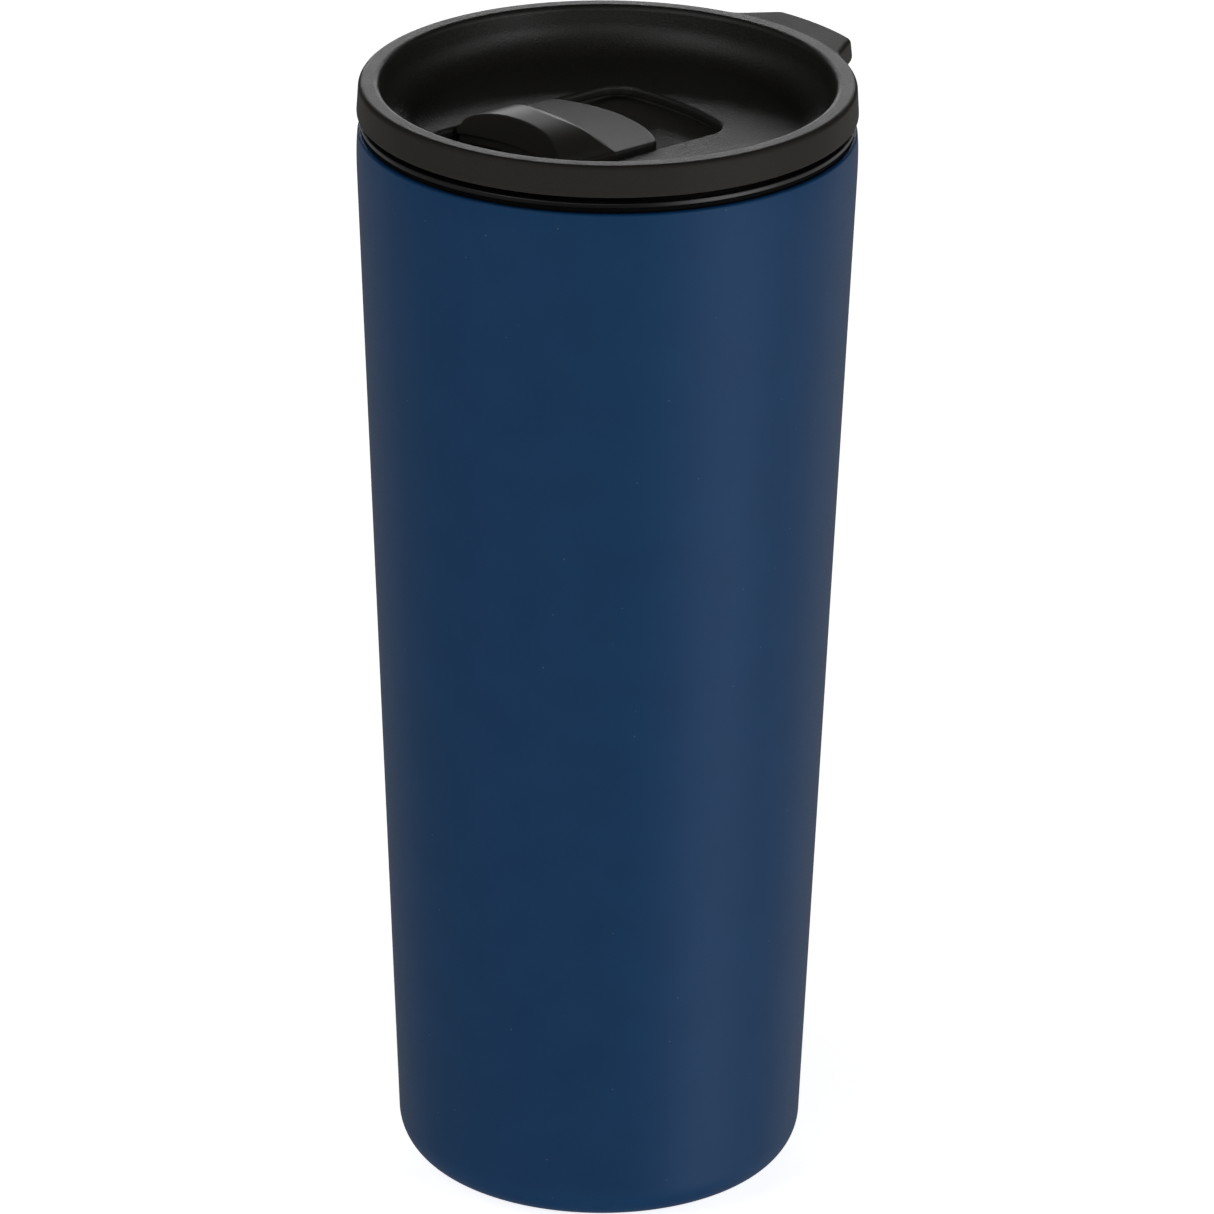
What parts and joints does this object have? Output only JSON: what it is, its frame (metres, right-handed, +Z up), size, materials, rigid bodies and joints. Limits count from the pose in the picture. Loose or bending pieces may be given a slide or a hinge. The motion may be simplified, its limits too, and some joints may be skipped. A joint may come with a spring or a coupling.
{
  "type": "insulated travel mug",
  "caption": "Tall tapered double-wall steel travel mug with a press-in lid, a slide closure with a thumb hump over the drinking opening, and a lift tab on the rim.",
  "frame": {"origin": "centre of the flat base, on the mug's axis, at the height of the surface it stands on", "axes": "+Z up along the mug's axis, +Y towards the lift tab and the way the slide closure opens, -Y the drinking side"},
  "size_m": [0.0866, 0.092, 0.2018],
  "materials": {
    "powder_coat": "satin blue powder coat with a fine grain",
    "steel": "brushed stainless steel",
    "copper": "bright copper foil",
    "getter": "sintered metal",
    "solder_glass": "glossy solder-glass bead",
    "lid_plastic": "satin black moulded plastic with a fine grain",
    "slider_plastic": "satin black moulded plastic, smooth on the hump and grained on the plate",
    "pad_silicone": "matt black silicone",
    "seal_silicone": "matt grey silicone"
  },
  "bodies": {
    "cup": {"outer_shell": "powder_coat", "inner_liner": "steel", "outer_base": "steel", "seal_plug": "solder_glass", "base_pad": "pad_silicone", "getter": "getter", "getter_bracket": "steel", "copper_shield": "copper"},
    "lid": {"lid_cover": "lid_plastic", "lid_tray": "lid_plastic", "lid_collar": "lid_plastic", "lid_gasket": "seal_silicone"},
    "slider": {"slider": "slider_plastic", "slider_seal": "seal_silicone"}
  },
  "joints": [
    {"name": "lid_lift", "type": "slide", "parent": "cup", "child": "lid", "axis": [0, 0, 1], "range_m": [0, 0.045]},
    {"name": "slider_slide", "type": "slide", "parent": "lid", "child": "slider", "axis": [0, 1, 0], "range_m": [0, 0.0125]}
  ]
}
